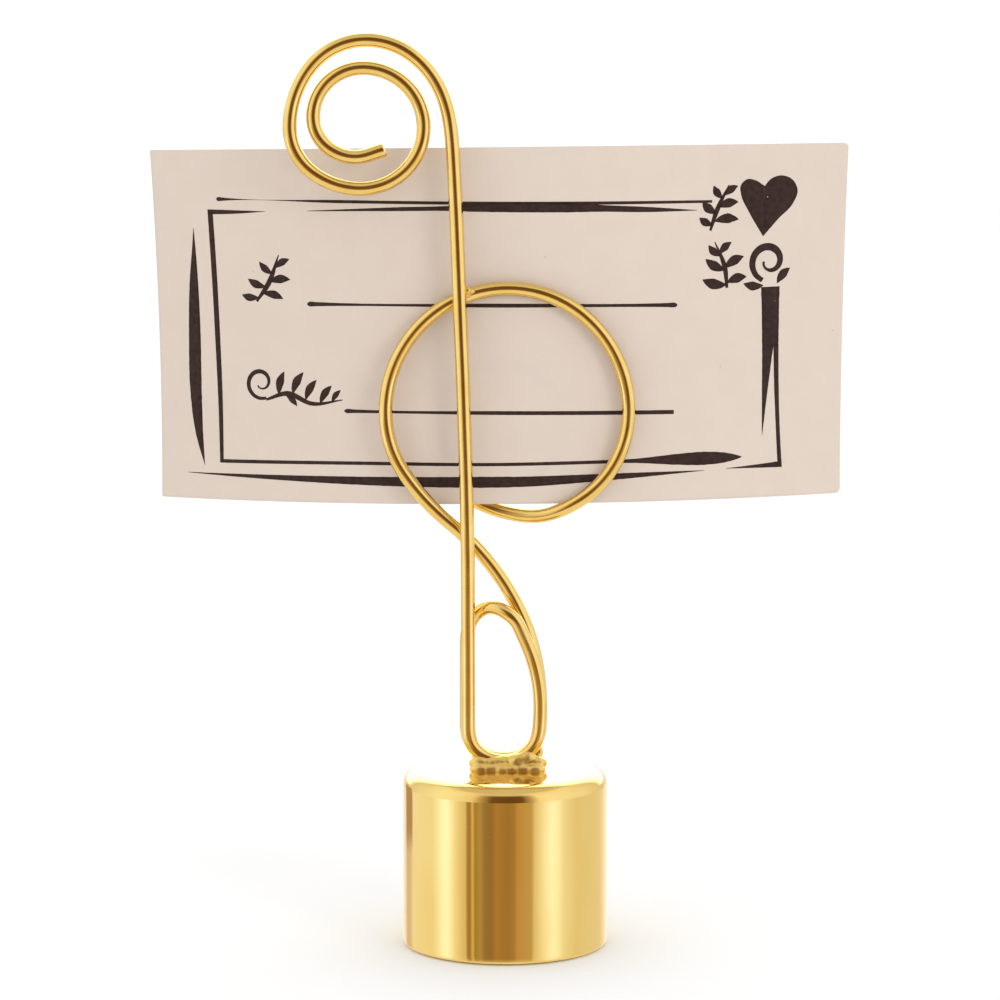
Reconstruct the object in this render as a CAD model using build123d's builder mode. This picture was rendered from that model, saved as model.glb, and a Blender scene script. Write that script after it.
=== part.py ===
"""Table number holder: a bent-wire treble clef that clips a card, on a short weighted base.

Millimetres. +Z is up and the card faces -Y. The origin is the centre of the base's underside,
on the surface that the holder stands on.
"""

import os
from math import asin, cos, degrees, radians, sin, sqrt

from build123d import *

os.makedirs("parts", exist_ok=True)

# ---- base: a drawn cup with a slug inside and a soft pad underneath
base_diameter = 25.0
base_height = 21.7
base_wall = 0.8
base_top_fillet = 1.9
base_inner_fillet = 1.1
base_rim_chamfer = 0.25
pad_thickness = 1.0
pad_proud = 0.25  # how far the pad stands below the cup's rim
pad_side_gap = 0.25
slug_side_gap = 0.05
slug_top_gap = 0.3
slug_edge_chamfer = 0.8

# ---- wire
wire_diameter = 1.7
layer_gap = 0.1  # between the front and the back layer of the bent wire
solder_film = 0.1  # under the bottom bends

# ---- card and its fit in the clip
card_width = 88.0
card_height = 43.3
card_thickness = 0.35
card_centre_x = -1.15
card_rise = 0.62  # degrees that the long edges rise to the right; the ends are upright
card_crest_x = 3.1  # the line of the card that stands furthest forward
card_bend_bottom = 93.0  # radius of the bend along the lower edge
card_bend_middle = 95.5
card_bend_top = 118.0
loop_gap = 0.1  # from the card to the big loop in front of it
clip_gap = 0.2  # from the card to the clip spiral behind it
seat_gap = 0.7  # from the wire that passes underneath up to the card

# ---- solder
solder_length = 8.6
solder_width = 5.6
solder_height = 1.45
solder_centre_x = 0.35
solder_edge = 0.6
tack_radius = 1.1
tack_x = -4.6
tack_rise = 57.15  # above the bottom bends' centreline

# ---- values worked out from the sizes above
wire_radius = wire_diameter / 2
front = -(wire_radius + layer_gap / 2)
back = wire_radius + layer_gap / 2
bend_z = base_height + solder_film + wire_radius
seat_rise = 29.85  # from the bottom bends up to the wire that passes under the card
card_bottom_z = bend_z + seat_rise + wire_radius + seat_gap
card_front_y = back + wire_radius + loop_gap
clip_bend = card_bend_bottom - card_thickness - clip_gap - wire_radius


def clip_y(x):
    """Where the clip spiral's centreline lies behind the card's most curved edge."""
    return card_front_y + card_bend_bottom - sqrt(clip_bend**2 - (x - card_crest_x) ** 2)


def knot(x, y, z, heading, swing=0.0):
    """A point of the wire's centreline and its direction there.

    heading is in degrees in the XZ plane, from +X towards +Z, and swing turns it towards +Y.
    """
    flat = cos(radians(swing))
    way = Vector(cos(radians(heading)) * flat, sin(radians(swing)), sin(radians(heading)) * flat)
    return Vector(x, y, z), way


def clip_knot(x, z, heading):
    """A knot of the clip spiral, which follows the card's bend."""
    slope = (x - card_crest_x) / clip_bend * cos(radians(heading))
    return knot(x, clip_y(x), z, heading, degrees(asin(slope)))


def two_arcs(start, end):
    """Ends, corners and meeting point of the two tangent arcs that join two knots."""
    (p0, t0), (p1, t1) = start, end
    chord = p1 - p0
    both = t0 + t1
    a = 2 * (1 - t0.dot(t1))
    b = 2 * chord.dot(both)
    c = -chord.dot(chord)
    if abs(a) < 1e-9:
        reach = -c / b
    else:
        reach = (-b + sqrt(b * b - 4 * a * c)) / (2 * a)
    q0 = p0 + t0 * reach
    q1 = p1 - t1 * reach
    return p0, q0, (q0 + q1) / 2, q1, p1


# The wire from the inner end of the top spiral to the inner end of the clip spiral. Heights are
# measured up from the centreline of the bottom bends.
leg_x = -4.45
back_leg_x = -4.68
bow_x = 4.33
bow_foot_x = 4.2  # the front bow leans in a little at its foot
foot_x = -0.1  # the lowest point of the bottom bends
leg_rise = 3.65  # from there up to where the bends end
bow_rise = 3.95
clef_knots = [
    # top spiral, two turns clockwise, opening out
    knot(-14.4, front, bend_z + 74.4, 194),
    knot(-17.9, front, bend_z + 73.45, 180),
    knot(-23.0, front, bend_z + 78.25, 90),
    knot(-17.0, front, bend_z + 84.15, 0),
    knot(-9.7, front, bend_z + 77.15, -90),
    knot(-17.3, front, bend_z + 69.7, 180),
    knot(-25.8, front, bend_z + 77.05, 90),
    knot(-16.6, front, bend_z + 87.45, 0),
    # stem, slightly bowed, down to the front bend
    knot(-7.4, front, bend_z + 80.75, -69),
    knot(-6.27, front, bend_z + 74.35, -86.5),
    knot(-5.27, front, bend_z + 51.35, -87.75),
    knot(-4.75, front, bend_z + 35.85, -88.3),
    knot(-4.5, front, bend_z + 21.35, -89.8),
    knot(leg_x, front, bend_z + leg_rise, -90),
    knot(foot_x, front, bend_z, 0),
    knot(bow_foot_x, front, bend_z + bow_rise, 86),
    # teardrop, from the front layer over to the back one behind the stem
    knot(bow_x, front, bend_z + 6.85, 90),
    knot(2.4, front, bend_z + 15.15, 116),
    knot(0.9, front, bend_z + 17.85, 143),
    knot(-1.5, 0, bend_z + 19, 180, 24),
    knot(-3.6, back, bend_z + 17.95, 227),
    knot(back_leg_x, back, bend_z + 14.55, 270),
    # back bend and the long sweep up to the left
    knot(back_leg_x, back, bend_z + leg_rise, 270),
    knot(foot_x, back, bend_z, 0),
    knot(bow_x, back, bend_z + bow_rise, 90),
    knot(bow_x, back, bend_z + 6.85, 90),
    knot(-6.5, back, bend_z + 28.95, 141),
    # big loop, clockwise
    knot(-14.5, back, bend_z + 42.65, 90),
    knot(0.3, back, bend_z + 57.7, 0),
    knot(15.0, back, bend_z + 42.75, -90),
    knot(8.8, back, bend_z + 31.75, 211),
    # under the card's lower edge to the clip spiral behind it
    knot(3.2, (back + clip_y(-2.6)) / 2, bend_z + seat_rise, 180, 17),
    clip_knot(-2.6, bend_z + 31.05, 158),
    clip_knot(-8.2, bend_z + 40.55, 90),
    clip_knot(-0.3, bend_z + 48.15, 0),
    clip_knot(7.4, bend_z + 40.55, -90),
    clip_knot(-0.3, bend_z + 34.15, 180),
    clip_knot(-5.4, bend_z + 39.75, 90),
    clip_knot(-1.6, bend_z + 44.35, 15),
]


def clef_path():
    """Adds the wire's centreline, arc after arc, to the line being built."""
    for start, end in zip(clef_knots, clef_knots[1:]):
        p0, q0, middle, q1, p1 = two_arcs(start, end)
        for a, corner, b in ((p0, q0, middle), (middle, q1, p1)):
            way = (corner - a).normalized()
            if way.cross((b - a).normalized()).length < 1e-4:
                Line(a, b)
            else:
                TangentArc(a, b, tangent=way)


# ---- clef_wire: one continuous round wire
with BuildPart() as clef_wire:
    with BuildLine() as centreline:
        clef_path()
    with BuildSketch(Plane(origin=clef_knots[0][0], z_dir=clef_knots[0][1])):
        Circle(wire_radius)
    sweep(path=centreline.wires()[0])
clef_wire.part.label = "clef_wire"
export_step(clef_wire.part, "parts/clef_wire.step")

# ---- base_shell: drawn cup, open underneath, turned from its half section
cup_radius = base_diameter / 2
cup_inside_radius = cup_radius - base_wall
cup_inside_top = base_height - base_wall
with BuildPart() as base_shell:
    with BuildSketch(Plane.XZ) as cup_section:
        with BuildLine():
            Polyline(
                (0, base_height),
                (cup_radius, base_height),
                (cup_radius, pad_proud),
                (cup_inside_radius, pad_proud),
                (cup_inside_radius, cup_inside_top),
                (0, cup_inside_top),
                close=True,
            )
        make_face()
        corners = cup_section.vertices()
        fillet(corners.group_by(Axis.Y)[-1].sort_by(Axis.X)[-1], base_top_fillet)
        fillet(corners.group_by(Axis.Y)[-2].sort_by(Axis.X)[-1], base_inner_fillet)
        chamfer(corners.group_by(Axis.Y)[0].sort_by(Axis.X)[-1], base_rim_chamfer)
    revolve(axis=Axis.Z)
base_shell.part.label = "base_shell"
export_step(base_shell.part, "parts/base_shell.step")

# ---- foot_pad: soft disc under the slug, inside the cup's rim
with BuildPart() as foot_pad:
    with BuildSketch():
        Circle(cup_inside_radius - pad_side_gap)
    extrude(amount=pad_thickness)
foot_pad.part.label = "foot_pad"
export_step(foot_pad.part, "parts/foot_pad.step")

# ---- base_weight: iron slug that fills the cup above the pad
slug_height = base_height - base_wall - slug_top_gap - pad_thickness
with BuildPart() as base_weight:
    with BuildSketch(Plane.XY.offset(pad_thickness)):
        Circle(cup_inside_radius - slug_side_gap)
    extrude(amount=slug_height)
    chamfer(base_weight.edges().group_by(Axis.Z)[-1], slug_edge_chamfer)
base_weight.part.label = "base_weight"
export_step(base_weight.part, "parts/base_weight.step")

# ---- base_solder: the lump that the two bottom bends sit in
with BuildPart() as base_solder:
    with BuildSketch(Plane.XY.offset(base_height)):
        with Locations((solder_centre_x, 0)):
            SlotOverall(solder_length, solder_width)
    extrude(amount=solder_height)
    fillet(base_solder.edges().group_by(Axis.Z)[-1], solder_edge)
    add(clef_wire.part, mode=Mode.SUBTRACT)
base_solder.part.label = "base_solder"
export_step(base_solder.part, "parts/base_solder.step")

# ---- crossing_solder: the tack where the big loop passes behind the stem
with BuildPart() as crossing_solder:
    with Locations((tack_x, 0, bend_z + tack_rise)):
        Sphere(tack_radius)
    add(clef_wire.part, mode=Mode.SUBTRACT)
crossing_solder.part.label = "crossing_solder"
export_step(crossing_solder.part, "parts/crossing_solder.step")

# ---- place_card: stiff card, bent back at both ends, more so along its lower edge
card_right = Vector(cos(radians(card_rise)), 0, sin(radians(card_rise)))
card_across = Vector(-sin(radians(card_rise)), 0, cos(radians(card_rise)))


def card_strip(bend):
    """The card's cross-section: an arc of its width, with its crest at the origin."""
    left = card_width / 2 + (card_crest_x - card_centre_x)
    right = card_width - left
    ends = []
    for length, side in ((left, -1), (right, 1)):
        turn = length / bend
        for radius in (bend, bend - card_thickness):
            ends.append((side * radius * sin(turn), bend - radius * cos(turn)))
    with BuildLine() as outline:
        ThreePointArc(ends[0], (0, 0), ends[2])
        Line(ends[2], ends[3])
        ThreePointArc(ends[3], (0, card_thickness), ends[1])
        Line(ends[1], ends[0])
    make_face(outline.edges())


with BuildPart() as place_card:
    for share, bend in ((0, card_bend_bottom), (0.5, card_bend_middle), (1, card_bend_top)):
        crest = Vector(card_crest_x, card_front_y, card_bottom_z + card_height * share)
        with BuildSketch(Plane(origin=crest, x_dir=card_right, z_dir=card_across)):
            card_strip(bend)
    loft()
place_card.part.label = "place_card"
export_step(place_card.part, "parts/place_card.step")

print("wire length", round(sum(edge.length for edge in centreline.edges()), 1))
print("wire volume", round(clef_wire.part.volume, 1))
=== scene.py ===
# %% [markdown]
# # A wire table number holder
# A length of gold-plated wire is bent into a treble clef, soldered upright on a short weighted
# cup, and grips a printed card between its big loop and a small spiral behind the card.
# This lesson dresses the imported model: every piece is built where the frame says it is, in
# metres, and each finish is made from shader nodes.

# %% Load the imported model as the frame
from math import asin, ceil, cos, degrees, pi, radians, sin, sqrt, tau

import bmesh
import bpy
from mathutils import Matrix, Vector, noise


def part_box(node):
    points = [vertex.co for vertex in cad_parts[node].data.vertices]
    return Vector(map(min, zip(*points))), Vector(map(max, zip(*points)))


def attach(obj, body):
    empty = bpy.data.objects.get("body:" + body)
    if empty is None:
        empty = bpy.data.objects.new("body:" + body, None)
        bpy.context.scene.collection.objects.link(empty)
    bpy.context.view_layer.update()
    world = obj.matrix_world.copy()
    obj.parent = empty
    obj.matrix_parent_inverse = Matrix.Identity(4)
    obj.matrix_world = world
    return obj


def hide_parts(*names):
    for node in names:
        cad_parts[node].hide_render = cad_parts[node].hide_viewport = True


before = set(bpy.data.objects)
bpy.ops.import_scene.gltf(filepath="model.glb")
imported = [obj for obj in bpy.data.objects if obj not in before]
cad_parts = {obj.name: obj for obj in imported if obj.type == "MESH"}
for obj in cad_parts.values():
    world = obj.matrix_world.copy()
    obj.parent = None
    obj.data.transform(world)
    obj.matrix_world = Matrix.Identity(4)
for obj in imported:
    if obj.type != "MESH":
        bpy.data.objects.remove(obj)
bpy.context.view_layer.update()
MM = 0.001
print("nodes", sorted(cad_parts))

# %% [markdown]
# ## Measures taken from the frame
# The frame already holds the right places, so the sizes below are read from it: the cup's
# height and radius, the height of the lowest bend, and the pad's box. The rest of the script
# works in millimetres from these, and turns them into metres only when a mesh is made.

# %% Read the cup and pad from the frame
cup_low, cup_high = (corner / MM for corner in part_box("base_shell"))
pad_low, pad_high = (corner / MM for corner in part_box("foot_pad"))
cup_radius = (cup_high.x - cup_low.x) / 2
cup_top = cup_high.z
cup_rim_z = cup_low.z
print(f"cup radius {cup_radius:.2f} mm, top at {cup_top:.2f} mm, rim at {cup_rim_z:.2f} mm")

# %% [markdown]
# ## The camera
# The holder is seen from straight in front and a little above, from about 40 cm away. A long
# lens keeps the cup's sides upright, as a product picture does.

# %% Place the camera
aim = Vector((-0.61, 0.0, 54.73)) * MM
camera_distance = 415.0 * MM
camera_pitch = radians(6.6)
camera_data = bpy.data.cameras.new("camera")
camera_data.sensor_width = 36.0
camera_data.lens = 123.1
camera_data.clip_start = 0.01
camera_data.clip_end = 50.0
camera = bpy.data.objects.new("camera", camera_data)
towards = Vector((0.0, cos(camera_pitch), -sin(camera_pitch)))
camera.location = aim - towards * camera_distance
camera.rotation_euler = (radians(90) - camera_pitch, 0.0, 0.0)
bpy.context.scene.collection.objects.link(camera)
bpy.context.scene.camera = camera
bpy.context.scene.view_settings.view_transform = "Standard"
bpy.context.scene.view_settings.look = "None"
print("camera at", [round(v, 4) for v in camera.location])

# %% [markdown]
# ## Helpers for shader nodes
# A finish is a small network of nodes. `shade` adds one node: each keyword names an input, with
# underscores for spaces, and gives it either a plain value or the output of another node.


# %% Add and join nodes
def shade(tree, kind, settings=None, **inputs):
    """Adds a node of the given kind and sets or joins its named inputs."""
    made = tree.nodes.new(kind)
    for key, value in (settings or {}).items():
        setattr(made, key, value)
    for key, value in inputs.items():
        name = key.replace("_", " ")
        socket = made.inputs[int(name[2:])] if name.startswith("in") else made.inputs[name]
        if isinstance(value, bpy.types.NodeSocket):
            tree.links.new(value, socket)
        else:
            socket.default_value = value
    return made


def calc(tree, operation, *values):
    """One Math node; returns its output."""
    inputs = {f"in{i}": value for i, value in enumerate(values)}
    return shade(tree, "ShaderNodeMath", {"operation": operation}, **inputs).outputs[0]


def rise(tree, value, low, high):
    """0 below low, 1 above high, and a smooth step between."""
    made = shade(
        tree, "ShaderNodeMapRange", {"interpolation_type": "SMOOTHSTEP"},
        Value=value, From_Min=low, From_Max=high,
    )
    return made.outputs[0]


def blend_colour(tree, factor, a, b, mode="MIX"):
    """Mixes two colours; returns the result."""
    made = tree.nodes.new("ShaderNodeMix")
    made.data_type = "RGBA"
    made.blend_type = mode
    for name, value in (("Factor_Float", factor), ("A_Color", a), ("B_Color", b)):
        socket = next(s for s in made.inputs if s.identifier == name)
        if isinstance(value, bpy.types.NodeSocket):
            tree.links.new(value, socket)
        else:
            socket.default_value = value
    return next(s for s in made.outputs if s.identifier == "Result_Color")


def ramp(tree, value, stops, scale=1.0):
    """A colour ramp through (position, colour) stops."""
    made = shade(tree, "ShaderNodeValToRGB", Fac=value)
    elements = made.color_ramp.elements
    while len(elements) < len(stops):
        elements.new(0.5)
    for element, (place, _) in zip(elements, stops):
        element.position = place
    for element, (_, colour) in zip(elements, stops):
        element.color = (*(channel * scale for channel in colour), 1.0)
    return made.outputs[0]


print("node helpers ready")

# %% [markdown]
# ## The studio
# Polished gold has hardly any colour of its own to show: it shows the room. The room here is a
# white tent with one tall darker opening in front of the card, painted on the world by compass
# direction, so it stays where it is when the camera moves. Light that falls on the card and the
# floor comes from an even white world instead, which gives soft light with no hard shadows.

# %% Paint the tent by direction
world = bpy.data.worlds.new("tent")
world.use_nodes = True
bpy.context.scene.world = world
sky = world.node_tree
sky.nodes.clear()
direction = shade(sky, "ShaderNodeSeparateXYZ", Vector=shade(sky, "ShaderNodeTexCoord").outputs["Generated"])
dir_x, dir_y, dir_z = direction.outputs
compass = calc(sky, "ARCTAN2", dir_x, calc(sky, "MULTIPLY", dir_y, -1.0))
compass = calc(sky, "MULTIPLY", compass, 180 / pi)
height = calc(sky, "MULTIPLY", calc(sky, "ARCSINE", dir_z), 180 / pi)
around = calc(sky, "ADD", calc(sky, "DIVIDE", compass, 360.0), 0.5)


def turns(stops):
    """Ramp stops from compass degrees, 0 towards the camera and positive to its right."""
    return [(degree / 360 + 0.5, colour) for degree, colour in stops]


TENT_GAIN = 4.0
white, pale, backdrop = (1.0, 1.0, 1.0), (1.02, 1.03, 1.05), (2.6, 2.6, 2.6)
strip, rear = (1.3, 1.42, 1.9), (1.12, 1.08, 1.02)
low_stops = [
    (-180, rear), (-152, (1.0, 0.95, 0.88)), (-146, (0.75, 0.64, 0.59)), (-136, (0.8, 0.7, 0.65)),
    (-126, pale), (-90, white), (-80, (1.1, 1.2, 1.4)), (-74, strip), (-67, strip),
    (-58, (1.02, 1.06, 1.05)), (-50, (0.9, 0.83, 0.7)), (-45, (0.84, 0.74, 0.58)),
    (-43, (0.42, 0.3, 0.14)), (-39, (0.42, 0.3, 0.13)), (-37, (0.9, 0.72, 0.4)),
    (-34, (0.43, 0.31, 0.13)), (-28, (0.52, 0.4, 0.22)), (-23, (0.37, 0.26, 0.15)),
    (-15, (0.35, 0.225, 0.1)), (-10, (0.47, 0.29, 0.135)), (3, (0.4, 0.255, 0.12)),
    (10, (0.44, 0.28, 0.13)), (14, (0.6, 0.38, 0.18)), (30, (0.6, 0.48, 0.28)),
    (33, (0.85, 0.79, 0.65)), (42, (1.04, 1.06, 1.18)), (54, strip), (62, (1.14, 1.3, 1.65)),
    (70, (0.99, 1.03, 1.1)), (88, (0.88, 0.83, 0.74)), (135, (0.9, 0.86, 0.8)), (155, rear),
]
high_stops = [
    (-180, rear), (-152, (1.0, 0.96, 0.9)), (-140, (0.8, 0.74, 0.66)), (-110, (0.98, 1.0, 1.0)),
    (-80, (1.1, 1.13, 1.12)), (-54, (1.06, 1.06, 1.06)), (-38, (0.98, 0.91, 0.84)),
    (-27, (0.55, 0.42, 0.28)), (-15, (0.19, 0.105, 0.045)), (6, (0.15, 0.08, 0.03)),
    (20, (0.18, 0.1, 0.045)), (30, (0.6, 0.48, 0.36)), (40, (1.1, 1.06, 1.02)),
    (54, (1.12, 1.12, 1.2)), (78, (1.04, 1.08, 1.18)), (108, (0.98, 0.95, 0.94)),
    (140, (0.8, 0.74, 0.66)), (152, (1.0, 0.96, 0.9)),
]
low_band = ramp(sky, around, turns(low_stops), 1 / TENT_GAIN)
high_band = ramp(sky, around, turns(high_stops), 1 / TENT_GAIN)
band = blend_colour(sky, rise(sky, height, -9.5, -6.0), low_band, high_band)
tent_stops = [
    (-180, white), (-130, white), (-90, (1.08, 1.06, 1.0)), (-50, (1.04, 1.0, 0.94)),
    (-22, (0.82, 0.77, 0.69)), (18, (0.82, 0.77, 0.69)), (45, (1.04, 1.0, 0.94)),
    (90, (1.08, 1.06, 1.0)), (130, white),
]
tent = ramp(sky, around, turns(tent_stops), 1 / TENT_GAIN)


def tent_tone(red, green, blue):
    """A tent colour as a plain RGBA value."""
    return (red / TENT_GAIN, green / TENT_GAIN, blue / TENT_GAIN, 1.0)


seen_in_gold = blend_colour(sky, rise(sky, height, 34.0, 52.0), band, tent)
ceiling, table = tent_tone(0.74, 0.7, 0.62), tent_tone(0.98, 0.92, 0.8)
seen_in_gold = blend_colour(sky, rise(sky, height, 50.0, 64.0), seen_in_gold, ceiling)
seen_in_gold = blend_colour(sky, rise(sky, height, -17.0, -26.0), seen_in_gold, table)

# %% Add the lit backdrop at the rear and one dark stand beside it
from_front = calc(sky, "ABSOLUTE", compass)
behind = calc(sky, "MULTIPLY", rise(sky, from_front, 130.0, 150.0), rise(sky, height, 3.0, 6.0))
behind = calc(sky, "MULTIPLY", behind, rise(sky, height, 62.0, 46.0))
seen_in_gold = blend_colour(sky, behind, seen_in_gold, tent_tone(*backdrop))
stand = calc(sky, "MULTIPLY", rise(sky, compass, -151.0, -147.0), rise(sky, compass, -127.0, -132.0))
stand = calc(sky, "MULTIPLY", stand, rise(sky, height, -12.5, -12.1))
stand = calc(sky, "MULTIPLY", stand, rise(sky, height, 0.0, -3.0))
seen_in_gold = blend_colour(sky, stand, seen_in_gold, tent_tone(0.5, 0.36, 0.26))

# %% Give diffuse light and the view their own even white
DIFFUSE_WHITE = 1.06
tent_light = shade(sky, "ShaderNodeBackground", Color=seen_in_gold, Strength=TENT_GAIN)
even_light = shade(sky, "ShaderNodeBackground", Color=(1.0, 1.0, 1.0, 1.0), Strength=DIFFUSE_WHITE)
ray = shade(sky, "ShaderNodeLightPath")
either = shade(sky, "ShaderNodeMixShader")
sky.links.new(ray.outputs["Is Glossy Ray"], either.inputs[0])
sky.links.new(even_light.outputs[0], either.inputs[1])
sky.links.new(tent_light.outputs[0], either.inputs[2])
sky.links.new(either.outputs[0], shade(sky, "ShaderNodeOutputWorld").inputs["Surface"])
print("tent painted with", len(low_stops) + len(high_stops), "stops")


# %% Materials start here: a plain start for each finish
def new_material(name):
    """A material with a Principled shader; returns it with its node tree and that shader."""
    material = bpy.data.materials.new(name)
    material.use_nodes = True
    tree = material.node_tree
    tree.nodes.clear()
    surface = shade(tree, "ShaderNodeBsdfPrincipled")
    output = shade(tree, "ShaderNodeOutputMaterial")
    tree.links.new(surface.outputs[0], output.inputs["Surface"])
    return material, tree, surface


def dress(piece, material):
    """Gives the piece one material."""
    piece.data.materials.clear()
    piece.data.materials.append(material)


# %% Lay a pale floor
floor_mesh = bpy.data.meshes.new("floor")
floor_size = 3.0
corners = [(-1, -1), (1, -1), (1, 1), (-1, 1)]
floor_mesh.from_pydata([(x * floor_size, y * floor_size, 0.0) for x, y in corners], [], [(0, 1, 2, 3)])
floor = bpy.data.objects.new("floor", floor_mesh)
bpy.context.scene.collection.objects.link(floor)
floor_material, tree, surface = new_material("pale_floor")
grain = shade(tree, "ShaderNodeTexNoise", Scale=30.0, Detail=3.0,
              Vector=shade(tree, "ShaderNodeTexCoord").outputs["Object"])
floor_tone = ramp(tree, grain.outputs[0], [(0.0, (0.935, 0.94, 0.945)), (1.0, (0.95, 0.955, 0.96))])
tree.links.new(floor_tone, surface.inputs["Base Color"])
surface.inputs["Roughness"].default_value = 0.9
surface.inputs["Specular IOR Level"].default_value = 0.2
dress(floor, floor_material)
floor.visible_glossy = False


# %% Hang two soft lights
def soft_light(name, place, target, size, power):
    """A large square light that gives shape to the card but no glare on the gold."""
    data = bpy.data.lights.new(name, "AREA")
    data.size = size
    data.energy = power
    lamp = bpy.data.objects.new(name, data)
    lamp.location = place
    lamp.rotation_euler = (Vector(target) - Vector(place)).to_track_quat("-Z", "Y").to_euler()
    lamp.visible_glossy = False
    bpy.context.scene.collection.objects.link(lamp)
    return lamp


soft_light("key", (1.15, -1.45, 0.55), (0, 0, 0.06), 0.6, 5.8)
soft_light("fill", (-1.5, -1.0, 0.6), (0, 0, 0.05), 1.4, 1.5)
print("floor and lights in place")

# %% [markdown]
# ## Effects that several finishes share
# Plated metal is never perfectly even. Three effects are built once as node groups, each with
# named inputs, and every finish uses them at its own strength: a slow ripple left by polishing,
# fine scratches from handling, and small specks of dust or ink.


# %% A helper for node groups
def start_group(name, inputs, outputs):
    """An empty node group with number inputs (name, default) and outputs (name)."""
    group = bpy.data.node_groups.new(name, "ShaderNodeTree")
    number = "NodeSocketFloat"
    for label, default in inputs:
        socket = group.interface.new_socket(label, in_out="INPUT", socket_type=number)
        socket.default_value = default
    for label in outputs:
        group.interface.new_socket(label, in_out="OUTPUT", socket_type=number)
    return group, group.nodes.new("NodeGroupInput"), group.nodes.new("NodeGroupOutput")


def use_group(tree, group, **inputs):
    """Places a node group in a material."""
    return shade(tree, "ShaderNodeGroup", {"node_tree": group}, **inputs)


# %% Group 1: polishing ripple
ripple, given, result = start_group(
    "polishing_ripple", [("Scale", 200.0), ("Stretch", 1.0), ("Grain", 0.0)], ["Height", "Tone"]
)
place = shade(ripple, "ShaderNodeTexCoord").outputs["Object"]
stretched = shade(ripple, "ShaderNodeCombineXYZ", X=1.0, Y=1.0, Z=given.outputs["Stretch"])
place = shade(
    ripple, "ShaderNodeVectorMath", {"operation": "MULTIPLY"}, in0=place, in1=stretched.outputs[0]
).outputs[0]
slow = shade(ripple, "ShaderNodeTexNoise", Vector=place, Detail=1.5, Roughness=0.45,
             Scale=given.outputs["Scale"])
quick = shade(ripple, "ShaderNodeTexNoise", Vector=place, Detail=3.0,
              Scale=calc(ripple, "MULTIPLY", given.outputs["Scale"], 5.0))
pores = shade(ripple, "ShaderNodeTexNoise", Vector=place, Scale=7000.0, Detail=2.0)
total = calc(ripple, "ADD", slow.outputs[0], calc(ripple, "MULTIPLY", quick.outputs[0], 0.12))
total = calc(ripple, "MULTIPLY_ADD", pores.outputs[0], given.outputs["Grain"], total)
ripple.links.new(total, result.inputs["Height"])
ripple.links.new(slow.outputs[0], result.inputs["Tone"])

# %% Group 2: handling scratches
scratches, given, result = start_group("handling_scratches", [("Scale", 300.0), ("Amount", 0.2)], ["Mask"])
place = shade(scratches, "ShaderNodeTexCoord").outputs["Object"]
lines = None
for turn_x, turn_z, length in ((0.3, 0.5, 0.06), (-0.5, 1.7, 0.05), (0.9, -0.8, 0.08)):
    turned = shade(scratches, "ShaderNodeMapping", Vector=place,
                   Rotation=(turn_x, 0.4, turn_z), Scale=(1.0, 1.0, length))
    wisps = shade(scratches, "ShaderNodeTexNoise", Vector=turned.outputs[0], Detail=2.0,
                  Scale=given.outputs["Scale"])
    line = rise(scratches, wisps.outputs[0], 0.64, 0.70)
    lines = line if lines is None else calc(scratches, "MAXIMUM", lines, line)
patch = shade(scratches, "ShaderNodeTexNoise", Vector=place, Scale=90.0, Detail=2.0)
lines = calc(scratches, "MULTIPLY", lines, rise(scratches, patch.outputs[0], 0.45, 0.65))
scratches.links.new(calc(scratches, "MULTIPLY", lines, given.outputs["Amount"]), result.inputs["Mask"])

# %% Group 3: specks
specks, given, result = start_group("specks", [("Scale", 900.0), ("Size", 0.12), ("Share", 0.1)], ["Mask"])
place = shade(specks, "ShaderNodeTexCoord").outputs["Object"]
cells = shade(specks, "ShaderNodeTexVoronoi", Vector=place, Scale=given.outputs["Scale"])
dots = calc(specks, "LESS_THAN", cells.outputs["Distance"], given.outputs["Size"])
chosen = shade(specks, "ShaderNodeSeparateColor", Color=cells.outputs["Color"])
kept = calc(specks, "LESS_THAN", chosen.outputs[0], given.outputs["Share"])
specks.links.new(calc(specks, "MULTIPLY", dots, kept), result.inputs["Mask"])
print("groups", [group.name for group in bpy.data.node_groups])

# %% [markdown]
# ## Gold plating
# The wire, the cup and the solder were plated together after soldering, so they share one gold.
# They differ in polish: the cup is a mirror, the drawn wire is a little satin, and the solder is
# lumpy. One function makes all three, and the differences are its arguments.

# %% Make a plated finish
GOLD_LIGHT = (0.90, 0.665, 0.235)
GOLD_DEEP = (0.86, 0.60, 0.185)


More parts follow.
